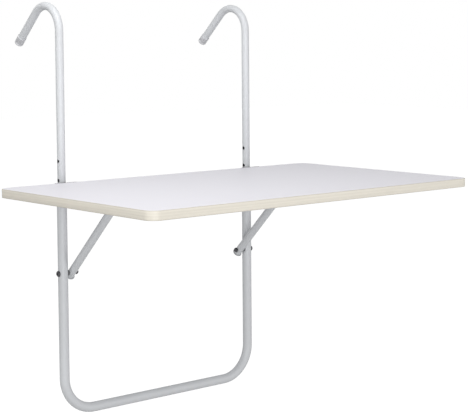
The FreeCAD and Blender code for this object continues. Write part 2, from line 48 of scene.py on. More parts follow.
class Shade:
    """A socket of a material. Sums on it add Math nodes, and node() adds any other."""

    def __init__(self, tree, socket=None):
        self.tree = tree
        self.socket = socket

    def node(self, kind, settings=None, inputs=None, output=0):
        made = self.tree.nodes.new("ShaderNode" + kind)
        for name, setting in (settings or {}).items():
            setattr(made, name, setting)
        for name, source in (inputs or {}).items():
            if isinstance(source, Shade):
                self.tree.links.new(source.socket, made.inputs[name])
            else:
                made.inputs[name].default_value = source
        return Shade(self.tree, made.outputs[output] if made.outputs else None)

    def sum_of(self, operation, first, second):
        return self.node("Math", {"operation": operation}, {0: first, 1: second})

    def __add__(self, other):
        return self.sum_of("ADD", self, other)

    __radd__ = __add__

    def __sub__(self, other):
        return self.sum_of("SUBTRACT", self, other)

    def __rsub__(self, other):
        return self.sum_of("SUBTRACT", other, self)

    def __mul__(self, other):
        return self.sum_of("MULTIPLY", self, other)

    __rmul__ = __mul__

    def between(self, low, high):
        """0 below low, 1 above high, and even between them."""
        return self.node("MapRange", {}, {"Value": self, "From Min": low, "From Max": high})

    def size(self):
        return self.node("Math", {"operation": "ABSOLUTE"}, {0: self})

    def root(self):
        return self.node("Math", {"operation": "SQRT"}, {0: self})

    def tint(self, low, high):
        """The colour low where this is 0, and high where it is 1."""
        low, high = [colour if isinstance(colour, Shade) else (*colour, 1) for colour in (low, high)]
        return self.node("Mix", {"data_type": "RGBA"}, {"Factor": self, 6: low, 7: high}, 2)

    def stretched(self, x, y, z):
        return self.node("VectorMath", {"operation": "MULTIPLY"}, {0: self, 1: (x, y, z)})

    def part(self, axis):
        return self.node("SeparateXYZ", {}, {"Vector": self}, "XYZ".index(axis))

    def noise(self, scale, detail=2.0):
        """Noise with about that many features in a metre."""
        return self.node("TexNoise", {}, {"Vector": self, "Scale": scale, "Detail": detail})

    def bump(self, height, normal=None):
        """The normal, raised by up to a height in metres."""
        inputs = {"Height": self, "Distance": height}
        if normal is not None:
            inputs["Normal"] = normal
        return self.node("Bump", {}, inputs)


def new_material(name):
    """An empty material, and the Object coordinates in it."""
    material = bpy.data.materials.new(name)
    material.use_nodes = True
    material.node_tree.nodes.clear()
    return material, Shade(material.node_tree).node("TexCoord", output="Object")


def surface(place, colour, roughness, normal, **constants):
    inputs = {"Base Color": colour, "Roughness": roughness, "Normal": normal}
    inputs.update({name.replace("_", " "): amount for name, amount in constants.items()})
    shader = place.node("BsdfPrincipled", {}, inputs)
    place.node("OutputMaterial", {}, {"Surface": shader})


def shaded(colour, factor):
    return tuple(channel * factor for channel in colour)


SIDES = {"left": -1, "right": 1}
COAT = (0.645, 0.66, 0.68)
# The tubes' inner wall: bare steel, darkened to near black with painted shade for the inside of the tube.
BARE_STEEL_AND_SHADE = (0.05, 0.05, 0.052)
TUBE_WALL = 0.0012
HOOK_RADIUS = 0.0065
SLIDE_TRAVEL = 0.061
RUB_FADE = 0.02
BORE_FADE = 0.002
low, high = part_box("hook_tube_left")
upright_x = {name: side * abs(low.x + high.x) / 2 for name, side in SIDES.items()}
upright_y = low.y + HOOK_RADIUS
bend_z = high.z - HOOK_RADIUS + upright_y
slide_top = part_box("tube_bush_left")[1].z + SLIDE_TRAVEL


def bore_of_hooks(place):
    """1 on the inner wall of the hooks' straight parts, 0 elsewhere."""
    sideways = place.part("X").size() - upright_x["right"]
    forwards = place.part("Y") - upright_y
    distance = (sideways * sideways + forwards * forwards).root()
    inside = 1 - distance.between(HOOK_RADIUS - 0.7 * TUBE_WALL, HOOK_RADIUS - 0.3 * TUBE_WALL)
    return inside * (1 - place.part("Z").between(bend_z - 2 * BORE_FADE, bend_z - BORE_FADE))


def powder_coat(name, colour, is_hook=False):
    """Powder paint. On the hooks it is rubbed in upright streaks, and the bore is bare steel,
    darkened to near black with painted shade.
    """
    material, place = new_material(name)
    cloud = place.noise(14.0)
    speck = place.noise(2600.0, 1.0)
    tone = 0.8 * cloud + 0.2 * speck
    roughness = 0.38 + 0.10 * place.noise(700.0)
    paint = tone.between(0.3, 0.7).tint(shaded(colour, 0.96), colour)
    if is_hook:
        low_part = 1 - place.part("Z").between(slide_top - RUB_FADE, slide_top)
        streak = place.stretched(2200.0, 2200.0, 18.0).noise(1.0).between(0.52, 0.7)
        rubbed = low_part * streak
        bore = bore_of_hooks(place)
        roughness = roughness - 0.12 * rubbed + 0.3 * bore
        paint = (0.5 * rubbed).tint(paint, shaded(colour, 0.93))
        # Painted shade: the bore's wall is near black, darker than bare steel, for the shade inside the
        # tube.
        paint = bore.tint(paint, BARE_STEEL_AND_SHADE)
    peel = place.noise(420.0, 1.0).bump(0.00003)
    surface(place, paint, roughness, speck.bump(0.00001, peel), Specular_IOR_Level=0.4)
    return material


def dress(material, *names):
    for name in names:
        nodes[name].material_slots[0].material = material


dress(powder_coat("coat_hooks", COAT, is_hook=True), "hook_tube_left", "hook_tube_right")


# Hook caps. Light grey moulded caps pushed over the tube tips, each with a rolled rim at its mouth, a
# shallow groove and a rounded end.

def moulded(name, colour):
    """Moulded plastic with a fine matte grain and faint flow marks."""
    material, place = new_material(name)
    flow = place.noise(60.0, 3.0)
    grain = place.noise(3200.0, 2.0)
    tone = (0.8 * flow + 0.2 * grain).between(0.3, 0.7)
    surface(
        place, tone.tint(shaded(colour, 0.92), colour), 0.44 + 0.12 * grain,
        grain.bump(0.00003, flow.bump(0.00005)), Specular_IOR_Level=0.45,
    )
    return material


def lathe(shape, profile, segments=48):
    """Spins a line of radius and height points about Z, and closes it where it meets the axis."""
    line = [shape.verts.new((radius, 0, height)) for radius, height in profile]
    edges = [shape.edges.new(pair) for pair in zip(line, line[1:])]
    bmesh.ops.spin(
        shape, geom=line + edges, cent=(0, 0, 0), axis=(0, 0, 1), angle=2 * math.pi, steps=segments,
        use_merge=True,
    )
    bmesh.ops.remove_doubles(shape, verts=shape.verts, dist=1e-6)
    bmesh.ops.recalc_face_normals(shape, faces=shape.faces)


def ease(shape, offset, segments=2, edges=None):
    """Rounds the given edges, or all that are sharper than 30 degrees."""
    if edges is None:
        limit = math.radians(30)
        edges = [edge for edge in shape.edges if edge.is_manifold and edge.calc_face_angle() > limit]
    bmesh.ops.bevel(
        shape, geom=edges, offset=offset, affect="EDGES", segments=segments, profile=0.5, material=-1,
        clamp_overlap=True,
    )


def add_piece(name, shape, material, body, replaced=()):
    """Makes a piece of a bmesh that stands in its place, and lets it ride on its body."""
    bmesh.ops.recalc_face_normals(shape, faces=shape.faces)
    mesh = bpy.data.meshes.new(name)
    shape.to_mesh(mesh)
    shape.free()
    mesh.materials.append(material)
    mesh.shade_smooth()
    mesh.set_sharp_from_angle(angle=math.radians(40))
    piece = bpy.data.objects.new(name, mesh)
    bpy.context.scene.collection.objects.link(piece)
    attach(piece, body)
    if replaced:
        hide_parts(*replaced)


HOOK_TURN = 132
CAP_PROFILE = (
    (0.0066, 0.0), (0.0074, 0.0), (0.00755, 0.0008), (0.0074, 0.0016), (0.0072, 0.0022), (0.0073, 0.0105),
    (0.0069, 0.0111), (0.0069, 0.0119), (0.0073, 0.0125), (0.00735, 0.0142), (0.0066, 0.0154),
    (0.0050, 0.0160), (0.0, 0.0160),
)
cap_plastic = moulded("cap_plastic", (0.66, 0.665, 0.69))
for side_name in SIDES:
    low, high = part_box(f"hook_cap_{side_name}")
    shape = bmesh.new()
    lathe(shape, CAP_PROFILE)
    bmesh.ops.translate(shape, verts=shape.verts, vec=(0, 0, -CAP_PROFILE[-1][1] / 2))
    turned = Matrix.Translation((low + high) / 2) @ Matrix.Rotation(-math.radians(HOOK_TURN), 4, "X")
    bmesh.ops.transform(shape, matrix=turned, verts=shape.verts)
    add_piece(
        f"tip_cap_{side_name}", shape, cap_plastic, "hooks", [f"hook_cap_{side_name}"]
    )


# Frame tube. One steel tube bent to a U with the bottom bar, in the hooks' coat, painted a shade paler
# as painted light. The lugs and the bosses of the height locks are welded on under the coat, with rippled
# beads.

# Painted light: the same paint as the hooks, made paler to stand in for more light on the frame and stay.
FRAME_COAT_LIGHTENED = (0.675, 0.69, 0.71)
coat = powder_coat("coat_frame_lightened", FRAME_COAT_LIGHTENED)
dress(coat, "frame_tube", "hinge_lug_left", "hinge_lug_right", "lock_boss_left", "lock_boss_right")

BEAD = 0.0011
BEAD_END = 0.35
RIPPLE = 0.16
RIPPLE_PITCH = 0.0012
frame_low, frame_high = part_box("frame_tube")
tube_radius = (frame_high.y - frame_low.y) / 2
tube_y = (frame_high.y + frame_low.y) / 2


def verts_of(parts):
    return [part for part in parts if isinstance(part, bmesh.types.BMVert)]


def edges_of(parts):
    return [part for part in parts if isinstance(part, bmesh.types.BMEdge)]


def upright_bead(shape, foot, length):
    """A straight bead along Z, its ends tapered."""
    steps = 2 * round(length / RIPPLE_PITCH)
    ring = bmesh.ops.create_circle(shape, segments=8, radius=BEAD)["verts"]
    bmesh.ops.translate(shape, verts=ring, vec=foot)
    edges = list({edge for vertex in ring for edge in vertex.link_edges})
    last_swell = 1
    for number in range(steps + 1):
        is_end = number in (0, steps)
        swell = BEAD_END if is_end else 1 + RIPPLE * (-1) ** number
        if number > 0:
            grown = bmesh.ops.extrude_edge_only(shape, edges=edges)["geom"]
            ring = verts_of(grown)
            edges = edges_of(grown)
            bmesh.ops.translate(shape, verts=ring, vec=(0, 0, length / steps))
        centre = foot + Vector((0, 0, length * number / steps))
        growth = swell / last_swell
        bmesh.ops.scale(shape, verts=ring, vec=(growth, growth, 1), space=Matrix.Translation(-centre))
        last_swell = swell
        if is_end:
            bmesh.ops.contextual_create(shape, geom=edges)


for side_name, side in SIDES.items():
    low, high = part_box(f"hinge_lug_{side_name}")
    half_thick = (high.x - low.x) / 2
    weld_y = tube_y - math.sqrt(tube_radius**2 - half_thick**2)
    shape = bmesh.new()
    for face_x in (low.x, high.x):
        upright_bead(shape, Vector((face_x, weld_y, low.z + BEAD)), high.z - low.z - 2 * BEAD)
    add_piece(f"lug_weld_{side_name}", shape, coat, "frame")


def ring_bead(shape, centre, radius, side):
    """A bead round a boss that stands along X on the round upright."""
    ring = bmesh.ops.create_circle(shape, segments=8, radius=BEAD)["verts"]
    turned = Matrix.Translation((0, 0, radius)) @ Matrix.Rotation(math.radians(90), 4, "X")
    bmesh.ops.transform(shape, matrix=turned, verts=ring)
    edges = list({edge for vertex in ring for edge in vertex.link_edges})
    ripples = round(2 * math.pi * radius / RIPPLE_PITCH)
    bmesh.ops.spin(
        shape, geom=ring + edges, cent=(0, 0, 0), axis=(1, 0, 0), angle=2 * math.pi, steps=4 * ripples,
        use_merge=True,
    )
    for vertex in shape.verts:
        turn = math.atan2(vertex.co.y, vertex.co.z)
        middle = Vector((0, math.sin(turn) * radius, math.cos(turn) * radius))
        vertex.co = middle + (vertex.co - middle) * (1 + RIPPLE * math.cos(turn * ripples))
        vertex.co.x += side * math.sqrt(tube_radius**2 - middle.y**2)
    bmesh.ops.translate(shape, verts=shape.verts, vec=centre)


for side_name, side in SIDES.items():
    low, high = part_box(f"lock_boss_{side_name}")
    shape = bmesh.new()
    boss_z = (low.z + high.z) / 2
    ring_bead(shape, Vector((upright_x[side_name], tube_y, boss_z)), (high.z - low.z) / 2, -side)
    add_piece(f"boss_weld_{side_name}", shape, coat, "frame")


# Guide bushes. Black plastic collars that sit on the frame tube's two upper ends and guide the hooks.

black_plastic = moulded("black_plastic", (0.022, 0.022, 0.024))
dress(black_plastic, "tube_bush_left", "tube_bush_right")


# Height locks. Zinc plated screws whose plain nose enters a hole of the hook tube, turned by fluted
# black knobs. The thread shows between the boss and the knob.

def plated(name, colour):
    """Zinc plated steel: fine drawn scratches over a clouded metal."""
    material, place = new_material(name)
    cloud = place.noise(160.0, 3.0)
    scratch = place.stretched(300.0, 4200.0, 4200.0).noise(1.0, 2.0)
    tone = (0.5 * cloud + 0.5 * scratch).between(0.3, 0.7)
    surface(
        place, tone.tint(shaded(colour, 0.75), colour), 0.32 + 0.15 * cloud, scratch.bump(0.00001),
        Metallic=1.0,
    )
    return material


def across(centre, side):
    """Stands what is modelled along Z on a centre, pointing along X to the side."""
    return Matrix.Translation(centre) @ Matrix.Rotation(side * math.pi / 2, 4, "Y")


def add_rod(shape, radius, start, end):
    """A closed round rod along Z."""
    rod = bmesh.ops.create_cone(
        shape, cap_ends=True, segments=32, radius1=radius, radius2=radius, depth=end - start
    )["verts"]
    bmesh.ops.translate(shape, verts=rod, vec=(0, 0, (start + end) / 2))


THREAD_PITCH = 0.001
THREAD_DEPTH = 0.0005
THREAD_STEPS = 24


def add_thread(shape, radius, start, end):
    """A thread along Z: a ridge wound round a core, its foot sunk in it."""
    add_rod(shape, radius - THREAD_DEPTH, start, end)
    turns = int((end - start) / THREAD_PITCH) - 1
    foot = radius - 1.2 * THREAD_DEPTH
    corners = [(foot, start), (radius, start + THREAD_PITCH / 2), (foot, start + THREAD_PITCH)]
    line = [shape.verts.new((out, 0, height)) for out, height in corners]
    edges = [shape.edges.new(pair) for pair in zip(line, line[1:])]
    steps = THREAD_STEPS * turns
    climb = THREAD_PITCH * turns / steps
    bmesh.ops.spin(
        shape, geom=line + edges, cent=(0, 0, 0), axis=(0, 0, 1), dvec=(0, 0, climb),
        angle=2 * math.pi * turns, steps=steps,
    )


zinc = plated("zinc", (0.60, 0.61, 0.63))
KNOB_FLUTES = 8
KNOB_PROFILE = (
    (0.0031, 0.0004), (0.0031, 0.0), (0.0050, 0.0), (0.0052, 0.0010), (0.0070, 0.0020), (0.0079, 0.0032),
    (0.0080, 0.0090), (0.0077, 0.0108), (0.0066, 0.0118), (0.0050, 0.0120), (0.0045, 0.0116),
    (0.0040, 0.0118), (0.0, 0.0119),
)
KNOB_HUB = 0.006
FLUTE_DEPTH = 0.16
SCREW_RADIUS = 0.003
NOSE_RADIUS = 0.0025
NOSE_LENGTH = 0.005
NOSE_EASED = 0.0006
OVERLAP = 0.0001
for side_name, side in SIDES.items():
    low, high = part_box(f"lock_knob_{side_name}")
    centre = Vector((upright_x[side_name], tube_y, (low.z + high.z) / 2))
    knob_face = min(abs(low.x - centre.x), abs(high.x - centre.x))
    shape = bmesh.new()
    lathe(shape, KNOB_PROFILE, 128)
    for vertex in shape.verts:
        radius = math.hypot(vertex.co.x, vertex.co.y)
        if radius > KNOB_HUB:
            wave = 0.5 - 0.5 * math.cos(KNOB_FLUTES * math.atan2(vertex.co.y, vertex.co.x))
            sunk = 1 - FLUTE_DEPTH * wave**3
            vertex.co.x *= sunk
            vertex.co.y *= sunk
    bmesh.ops.translate(shape, verts=shape.verts, vec=(0, 0, knob_face))
    bmesh.ops.transform(shape, matrix=across(centre, -side), verts=shape.verts)
    body = f"lock_{side_name}"
    knob = f"lock_knob_{side_name}"
    add_piece(f"fluted_knob_{side_name}", shape, black_plastic, body, [knob])

    screw = f"lock_screw_{side_name}"
    low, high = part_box(screw)
    tip = min(abs(low.x - centre.x), abs(high.x - centre.x))
    end = max(abs(low.x - centre.x), abs(high.x - centre.x))
    nose_end = tip + NOSE_LENGTH
    shape = bmesh.new()
    add_rod(shape, NOSE_RADIUS, tip, nose_end + OVERLAP)
    ease(shape, NOSE_EASED)
    add_thread(shape, SCREW_RADIUS, nose_end, end)
    bmesh.ops.transform(shape, matrix=across(centre, -side), verts=shape.verts)
    add_piece(f"threaded_screw_{side_name}", shape, zinc, body, [screw])


# Board. A pressed wood core between two white laminate skins. The skins have a fine pearl texture and
# a soft sheen that varies a little.

def laminate(name, colour):
    material, place = new_material(name)
    pearl = place.noise(1500.0, 2.0)
    cloud = place.noise(9.0, 3.0)
    tone = (0.5 * cloud + 0.5 * pearl).between(0.25, 0.75)
    surface(
        place, tone.tint(shaded(colour, 0.97), colour), 0.44 + 0.08 * cloud + 0.06 * pearl,
        pearl.bump(0.000015), Specular_IOR_Level=0.35,
    )
    return material


def chipboard(name):
    """Pressed wood chips, which show in the screw holes only."""
    material, place = new_material(name)
    chips = place.node("TexVoronoi", {}, {"Vector": place.stretched(1, 1, 3), "Scale": 420.0})
    tone = (0.7 * chips + 0.3 * place.noise(900.0)).between(0.2, 0.8)
    surface(
        place, tone.tint((0.30, 0.20, 0.11), (0.62, 0.47, 0.30)), 0.8 + 0.1 * chips, chips.bump(0.0002)
    )
    return material


dress(laminate("white_laminate", (0.81, 0.80, 0.85)), "top_laminate", "bottom_laminate")
dress(chipboard("chipboard"), "core_board")


# Edge band. A beige plastic strip with a lengthwise grain, glued round the board. Its arrises are
# eased, and along them the face is darkened with painted shade.

BEIGE = (0.82, 0.775, 0.68)
BAND_THICK = 0.0008
CORNER = 0.017
ARRIS = 0.0006
ARRIS_SHADE_WIDTH = 0.0014


def banding(name, colour, low_z, high_z):
    material, place = new_material(name)
    stripe = place.stretched(3.0, 3.0, 330.0).noise(1.0, 2.0)
    grain = place.stretched(20.0, 20.0, 1800.0).noise(1.0, 3.0)
    height = place.part("Z")
    # Painted shade: the face is darkened to 0.76 of its colour in strips along the top and bottom arrises.
    top_arris_shade = height.between(high_z - ARRIS_SHADE_WIDTH, high_z - ARRIS)
    low_arris_shade = 1 - height.between(low_z + ARRIS, low_z + ARRIS_SHADE_WIDTH)
    strip = (0.6 * stripe + 0.4 * grain).between(0.35, 0.65).tint(shaded(colour, 0.88), colour)
    surface(
        place, (top_arris_shade + low_arris_shade).tint(strip, shaded(colour, 0.76)), 0.42 + 0.1 * grain,
        grain.bump(0.00003), Specular_IOR_Level=0.4,
    )
    return material


low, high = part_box("edge_band")
size = high - low
shape = bmesh.new()
bmesh.ops.create_grid(shape, x_segments=1, y_segments=1, size=0.5)
bmesh.ops.scale(shape, verts=shape.verts, vec=(size.x, size.y, 1))
bmesh.ops.bevel(
    shape, geom=list(shape.verts), offset=CORNER, affect="VERTICES", segments=16, profile=0.5, material=-1
)
bmesh.ops.inset_region(
    shape, faces=list(shape.faces), thickness=BAND_THICK, use_boundary=True, use_even_offset=True
)
inside = max(shape.faces, key=lambda face: face.calc_area())
bmesh.ops.delete(shape, geom=[inside], context="FACES_ONLY")
grown = bmesh.ops.extrude_face_region(shape, geom=list(shape.faces))["geom"]
bmesh.ops.translate(shape, verts=verts_of(grown), vec=(0, 0, size.z))
bmesh.ops.recalc_face_normals(shape, faces=shape.faces)
outer_arrises = []
for edge in shape.edges:
    upright = [face for face in edge.link_faces if abs(face.normal.z) < 0.5]
    is_outer = any(face.normal.dot(face.calc_center_median()) > 0 for face in upright)
    if is_outer and len(upright) == 1:
        outer_arrises.append(edge)
ease(shape, ARRIS, 3, outer_arrises)
bmesh.ops.translate(shape, verts=shape.verts, vec=((low.x + high.x) / 2, (low.y + high.y) / 2, low.z))
band = banding("beige_band", BEIGE, low.z, high.z)
add_piece("board_edge", shape, band, "tabletop", ["edge_band"])


# Hinge brackets. Bent steel plates in a dark satin coat, screwed under the board. Each has an upstand
# behind the board's back edge and two ears that take the hinge bolt.

PLATE = 0.002
EASED = 0.0003


def extrude_across(shape, outline, low, high):
    """Extrudes an outline of Y and Z points along X."""
    face = shape.faces.new([shape.verts.new((low, y, z)) for y, z in outline])
    grown = bmesh.ops.extrude_face_region(shape, geom=[face])["geom"]
    bmesh.ops.translate(shape, verts=verts_of(grown), vec=(high - low, 0, 0))
    bmesh.ops.recalc_face_normals(shape, faces=shape.faces)


def join(whole, shape):
    """Adds a finished shape to a mesh of several."""
    passed_on = bpy.data.meshes.new("shape")
    shape.to_mesh(passed_on)
    shape.free()
    whole.from_mesh(passed_on)
    bpy.data.meshes.remove(passed_on)


def rounded_ear(shape, reach, low, high, x_low, x_high):
    """A plate across X with a round lower end, whose two rounds stop just short of each other."""
    outline = ((-reach, high), (-reach, low), (reach, low), (reach, high))
    corners = [shape.verts.new((x_low, y, z)) for y, z in outline]
    shape.faces.new(corners)
    bmesh.ops.bevel(
        shape, geom=corners[1:3], offset=reach * 0.999, affect="VERTICES", segments=12, profile=0.5,
        material=-1,
    )
    grown = bmesh.ops.extrude_face_region(shape, geom=list(shape.faces))["geom"]
    bmesh.ops.translate(shape, verts=verts_of(grown), vec=(x_high - x_low, 0, 0))
    bmesh.ops.recalc_face_normals(shape, faces=shape.faces)


LUG_HALF = 0.0025
EAR_GAP = 0.0003
HINGE_ROUND = 0.007
BEND_ROUND = 0.0018
low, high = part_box("hinge_bolts")
hinge_y = (low.y + high.y) / 2
hinge_z = (low.z + high.z) / 2
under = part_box("bottom_laminate")[0].z
bracket_coat = powder_coat("dark_coat", (0.045, 0.045, 0.05))
for side_name in SIDES:
    low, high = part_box(f"hinge_bracket_{side_name}")
    shape = bmesh.new()
    outline = [
        (high.y, under - PLATE), (high.y, high.z), (high.y - PLATE, high.z), (high.y - PLATE, under),
        (low.y, under), (low.y, under - PLATE),
    ]
    extrude_across(shape, outline, low.x, high.x)
    bend_line = Vector((high.y, under - PLATE))
    bend = []
    for edge in shape.edges:
        middle = (edge.verts[0].co + edge.verts[1].co) / 2
        if (middle.yz - bend_line).length < 1e-6:
            bend.append(edge)
    ease(shape, BEND_ROUND, 6, bend)
    ease(shape, EASED)
    for direction in (-1, 1):
        ear = bmesh.new()
        inner = LUG_HALF + EAR_GAP
        rounded_ear(ear, HINGE_ROUND, -HINGE_ROUND, under - PLATE / 2 - hinge_z, inner, inner + PLATE)
        ease(ear, EASED)
        bmesh.ops.scale(ear, verts=ear.verts, vec=(direction, 1, 1))
        centre = Vector((upright_x[side_name], hinge_y, hinge_z))
        bmesh.ops.translate(ear, verts=ear.verts, vec=centre)
        bmesh.ops.recalc_face_normals(ear, faces=ear.faces)
        join(shape, ear)
    add_piece(
        f"bent_bracket_{side_name}", shape, bracket_coat, "tabletop",
        [f"hinge_bracket_{side_name}"],
    )


# Hinge bolts. Zinc plated hexagon bolts through ears and lugs, with washers and lock nuts. The hexagons
# have chamfered corners, and the bolts' threaded ends stand out of the nuts.

WASHER = 0.0016
SPANNER_WIDTH = 0.010
HEX_CORNER = SPANNER_WIDTH / 2 / math.cos(math.pi / 6)
HEX_CHAMFER = 0.17
HEAD_HEIGHT = 0.004
NUT_HEIGHT = 0.006
BOLT_END = 0.0015
BOLT_RADIUS = 0.003
dress(zinc, "hinge_washers")
stack = LUG_HALF + EAR_GAP + PLATE + WASHER


def add_hexagon(shape, corner_radius, start, end):
    """A hexagon along Z whose far corners are turned to a chamfer."""
    made = bmesh.ops.create_cone(
        shape, cap_ends=True, segments=6, radius1=corner_radius, radius2=corner_radius, depth=end - start
    )["verts"]
    bmesh.ops.translate(shape, verts=made, vec=(0, 0, (start + end) / 2))
    far = [vertex for vertex in made if vertex.co.z > (start + end) / 2]
    bmesh.ops.bevel(
        shape, geom=far, offset=corner_radius * HEX_CHAMFER, affect="VERTICES", segments=3, profile=0.5,
        material=-1,
    )


bolts = bmesh.new()
nuts = bmesh.new()
nut_end = -stack - NUT_HEIGHT
for side_name, side in SIDES.items():
    centre = Vector((upright_x[side_name], hinge_y, hinge_z))
    shape = bmesh.new()
    add_hexagon(shape, HEX_CORNER, stack, stack + HEAD_HEIGHT)
    add_rod(shape, BOLT_RADIUS, nut_end, stack + OVERLAP)
    add_thread(shape, BOLT_RADIUS, nut_end - BOLT_END, nut_end + BOLT_END)
    bmesh.ops.transform(shape, matrix=across(centre, side), verts=shape.verts)
    join(bolts, shape)

    shape = bmesh.new()
    add_hexagon(shape, HEX_CORNER, stack, stack + NUT_HEIGHT)
    bmesh.ops.transform(shape, matrix=across(centre, -side), verts=shape.verts)
    join(nuts, shape)
add_piece("hexagon_bolts", bolts, zinc, "tabletop", ["hinge_bolts"])
add_piece("hexagon_nuts", nuts, zinc, "tabletop", ["hinge_nuts"])


# Wood screws. Zinc plated pan head screws with a cross recess, which hold the brackets and the stay's
# catches up to the board.

SCREW_HEAD = 0.0035
SCREW_SHANK = 0.00175
SCREW_LENGTH = 0.012
SCREW_POINT = 0.003
POINT_RADIUS = 0.0002
HEAD_RISE = 0.0022
HEAD_CROWN = 0.0009
RECESS = 0.0012
RECESS_TAPER = 0.72
GRID = 7
CROSS_CELLS = 5


def add_screw(shape, seat):
    """A wood screw that points up from its head's seat. The head is a grid drawn to a round disc."""
    disc = bmesh.ops.create_grid(shape, x_segments=GRID, y_segments=GRID, size=SCREW_HEAD)["verts"]
    faces = list({face for vertex in disc for face in vertex.link_faces})
    rim = list({edge for face in faces for edge in face.edges if edge.is_boundary})
    cell = 2 * SCREW_HEAD / GRID
    cross = []
    for face in faces:
        short, long = sorted(abs(part) for part in face.calc_center_median()[:2])
        if short < cell / 2 and long < CROSS_CELLS / 2 * cell:
            cross.append(face)
    for vertex in disc:
        square = max(abs(vertex.co.x), abs(vertex.co.y))
        if square > 0:
            vertex.co *= 1 + (square / vertex.co.length - 1) * (square / SCREW_HEAD) ** 2
        vertex.co.z = -HEAD_RISE + HEAD_CROWN * (vertex.co.length / SCREW_HEAD) ** 2
    sunk = bmesh.ops.extrude_face_region(shape, geom=cross)["geom"]
    bmesh.ops.delete(shape, geom=[face for face in cross if face.is_valid], context="FACES_ONLY")
    recess = verts_of(sunk)
    bmesh.ops.scale(shape, verts=recess, vec=(RECESS_TAPER, RECESS_TAPER, 0))
    bmesh.ops.translate(shape, verts=recess, vec=(0, 0, RECESS - HEAD_RISE))
    added = {*disc, *recess}
    for radius, height in (
        (SCREW_HEAD, 0), (SCREW_SHANK, 0), (SCREW_SHANK, SCREW_LENGTH - SCREW_POINT),
        (POINT_RADIUS, SCREW_LENGTH),
    ):
        grown = bmesh.ops.extrude_edge_only(shape, edges=rim)["geom"]
        ring = verts_of(grown)
        rim = edges_of(grown)
        for vertex in ring:
            vertex.co = vertex.co.xy.normalized().to_3d() * radius + Vector((0, 0, height))
        added |= set(ring)
    bmesh.ops.contextual_create(shape, geom=rim)
    bmesh.ops.translate(shape, verts=list(added), vec=seat)


PLATE_MARGIN = 0.006
SCREW_ROWS = (0.024, 0.046)
CATCH_BASE = 0.0017
CATCH_FRONT = 0.019
CATCH_SCREW = 0.015
shape = bmesh.new()
for side_name in SIDES:
    low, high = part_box(f"hinge_bracket_{side_name}")
    for x in (low.x + PLATE_MARGIN, high.x - PLATE_MARGIN):
        for row in SCREW_ROWS:
            add_screw(shape, Vector((x, high.y - PLATE - row, under - PLATE)))
add_piece("bracket_cross_screws", shape, zinc, "tabletop", ["bracket_screws"])

shape = bmesh.new()
for side_name in SIDES:
    low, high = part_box(f"stay_catch_{side_name}")
    for step in (-1, 1):
        seat = Vector(((low.x + high.x) / 2, low.y + CATCH_FRONT + step * CATCH_SCREW, under - CATCH_BASE))
        add_screw(shape, seat)
add_piece("catch_cross_screws", shape, zinc, "tabletop", ["catch_screws"])


# Stay. A U-shaped steel tube in the frame's coat, which swings out under the board. Its two ends are
# closed with grey moulded plugs.

dress(coat, "stay_tube")
dress(moulded("plug_plastic", (0.46, 0.47, 0.49)), "stay_plug_left", "stay_plug_right")


# Stay bolts. Dark domed bolts with a hexagon socket, held inside the stay by acorn nuts. Dark grey plastic
# spacers keep the stay off the uprights.

dark_bolt = powder_coat("dark_bolt", (0.055, 0.055, 0.06))
dress(moulded("spacer_plastic", (0.10, 0.10, 0.105)), "stay_spacer_left", "stay_spacer_right")
DOME_PROFILE = (
    (0.0025, -0.0002), (0.0048, 0.0), (0.0050, 0.0003), (0.0049, 0.0009), (0.0043, 0.0019), (0.0034, 0.0026),
    (0.0024, 0.0030),
)
SOCKET_RADIUS = 0.0017
SOCKET_DEPTH = 0.0018
SOCKET_RIM = 0.0004
SHANK_RADIUS = 0.0025
NUT_GRIP = 0.001
NUT_CORNER = 0.0044
ACORN_HEIGHT = 0.0045
ACORN_PROFILE = (
    (0.0036, 0.0), (0.0036, 0.0008), (0.0034, 0.0015), (0.0028, 0.0022), (0.0018, 0.0026), (0.0, 0.0028)
)
pivot_z = sum(corner.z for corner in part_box("stay_bolts")) / 2
bolt_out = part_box("stay_bolts")[1].x - upright_x["right"]
nut_in = upright_x["right"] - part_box("stay_nuts")[1].x
nut_tip = nut_in + ACORN_HEIGHT
heads = bmesh.new()
nuts = bmesh.new()
for side_name, side in SIDES.items():
    centre = Vector((upright_x[side_name], tube_y, pivot_z))
    shape = bmesh.new()
    lathe(shape, DOME_PROFILE)
    crown = [edge for edge in shape.edges if edge.is_boundary and edge.verts[0].co.z > 0]
    socket = bmesh.ops.contextual_create(shape, geom=crown)["faces"]
    bmesh.ops.inset_region(shape, faces=socket, thickness=SOCKET_RIM, use_boundary=True)
    for vertex in socket[0].verts:
        turn = math.atan2(vertex.co.y, vertex.co.x) % (math.pi / 3) - math.pi / 6
        radius = SOCKET_RADIUS / math.cos(turn)
        flat = vertex.co.xy.normalized() * radius
        vertex.co = (flat.x, flat.y, vertex.co.z)
    grown = bmesh.ops.extrude_face_region(shape, geom=socket)["geom"]
    bmesh.ops.delete(shape, geom=[face for face in socket if face.is_valid], context="FACES_ONLY")
    bmesh.ops.translate(shape, verts=verts_of(grown), vec=(0, 0, -SOCKET_DEPTH))
    dome_foot = bolt_out - DOME_PROFILE[-1][1]
    bmesh.ops.translate(shape, verts=shape.verts, vec=(0, 0, dome_foot))
    add_rod(shape, SHANK_RADIUS, -nut_in - NUT_GRIP, dome_foot)
    bmesh.ops.transform(shape, matrix=across(centre, side), verts=shape.verts)
    join(heads, shape)

    shape = bmesh.new()
    lathe(shape, ACORN_PROFILE)
    acorn_low = nut_tip - ACORN_PROFILE[-1][1]
    bmesh.ops.translate(shape, verts=shape.verts, vec=(0, 0, acorn_low))
    add_hexagon(shape, NUT_CORNER, nut_in, acorn_low + 2 * OVERLAP)
    bmesh.ops.transform(shape, matrix=across(centre, -side), verts=shape.verts)
    join(nuts, shape)
add_piece("domed_bolts", heads, dark_bolt, "frame", ["stay_bolts"])
add_piece("acorn_nuts", nuts, dark_bolt, "frame", ["stay_nuts"])


# Stay catches. Black moulded saddles screwed under the board. The stay's crossbar lies between a low
# lip at the front and a taller stop behind it.

